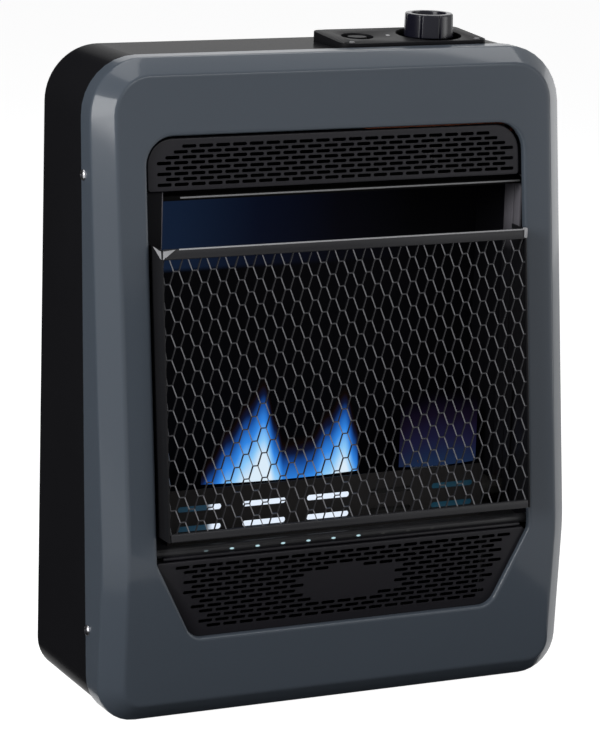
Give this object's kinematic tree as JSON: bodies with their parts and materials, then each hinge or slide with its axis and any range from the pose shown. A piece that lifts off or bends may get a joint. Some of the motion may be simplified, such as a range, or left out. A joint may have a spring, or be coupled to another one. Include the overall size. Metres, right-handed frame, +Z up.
{
  "type": "ventless gas heater",
  "caption": "Wall or floor ventless blue-flame gas heater: tapered steel casing, stamped front panel with slotted grilles, hexagon-mesh guard over an open firebox, and top controls.",
  "frame": {"origin": "on the floor, under the middle of the bounding box", "axes": "+Z up, the heater's front faces -Y, its back faces +Y, +X to the right seen from the front"},
  "size_m": [0.4356, 0.178, 0.5711],
  "materials": {
    "slate_paint": "satin slate-grey powder coat",
    "black_paint": "satin black powder coat",
    "grille_black": "semi-gloss black enamel",
    "guard_black": "semi-gloss black heat-proof enamel",
    "firebox_steel": "black heat-blued sheet steel",
    "burner_steel": "heat-stained stainless steel",
    "plated_steel": "zinc-plated steel",
    "brass": "turned brass",
    "copper_line": "drawn copper tube",
    "cast_aluminium": "die-cast aluminium",
    "lead_insulation": "silicone-insulated lead",
    "plate_plastic": "black moulded plastic",
    "knob_plastic": "gloss black moulded plastic"
  },
  "bodies": {
    "cabinet": {"front_panel": "slate_paint", "casing_shell": "black_paint", "back_panel": "black_paint", "upper_grille": "grille_black", "lower_grille": "grille_black", "guard_mesh": "guard_black", "guard_top_rail": "guard_black", "guard_bottom_rail": "guard_black", "guard_left_band": "guard_black", "guard_right_band": "guard_black", "heat_deflector": "firebox_steel", "firebox_back": "firebox_steel", "firebox_left_side": "firebox_steel", "firebox_right_side": "firebox_steel", "firebox_floor": "firebox_steel", "burner_shield": "firebox_steel", "burner_tube": "burner_steel", "burner_saddles": "burner_steel", "mixer_tube": "burner_steel", "pilot_bracket": "burner_steel", "pilot_burner": "burner_steel", "thermocouple": "copper_line", "injector_bracket": "plated_steel", "gas_injector": "brass", "pilot_tube": "copper_line", "burner_feed_tube": "copper_line", "inlet_pipe": "plated_steel", "ignition_lead": "lead_insulation", "gas_valve": "cast_aluminium", "valve_bracket": "plated_steel", "gas_regulator": "cast_aluminium", "regulator_bracket": "plated_steel", "control_plate": "plate_plastic", "igniter_body": "plate_plastic", "igniter_nut": "plated_steel", "rim_screws": "plated_steel", "control_plate_screws": "plated_steel"},
    "plunger": {"valve_plunger": "brass"},
    "knob": {"control_knob": "knob_plastic", "valve_stem": "brass"},
    "button": {"igniter_button": "knob_plastic"}
  },
  "joints": [
    {"name": "knob_push", "type": "slide", "parent": "cabinet", "child": "plunger", "axis": [0, 0, -1], "range_m": [0, 0.004], "stiffness_N_per_m": 600, "springref_m": -0.006},
    {"name": "knob_turn", "type": "hinge", "parent": "plunger", "child": "knob", "pos_m": [0.118, 0.041, 0.551], "axis": [0, 0, 1], "range_deg": [0, 240]},
    {"name": "button_press", "type": "slide", "parent": "cabinet", "child": "button", "axis": [0, 0, -1], "range_m": [0, 0.006], "stiffness_N_per_m": 700, "springref_m": -0.004}
  ]
}
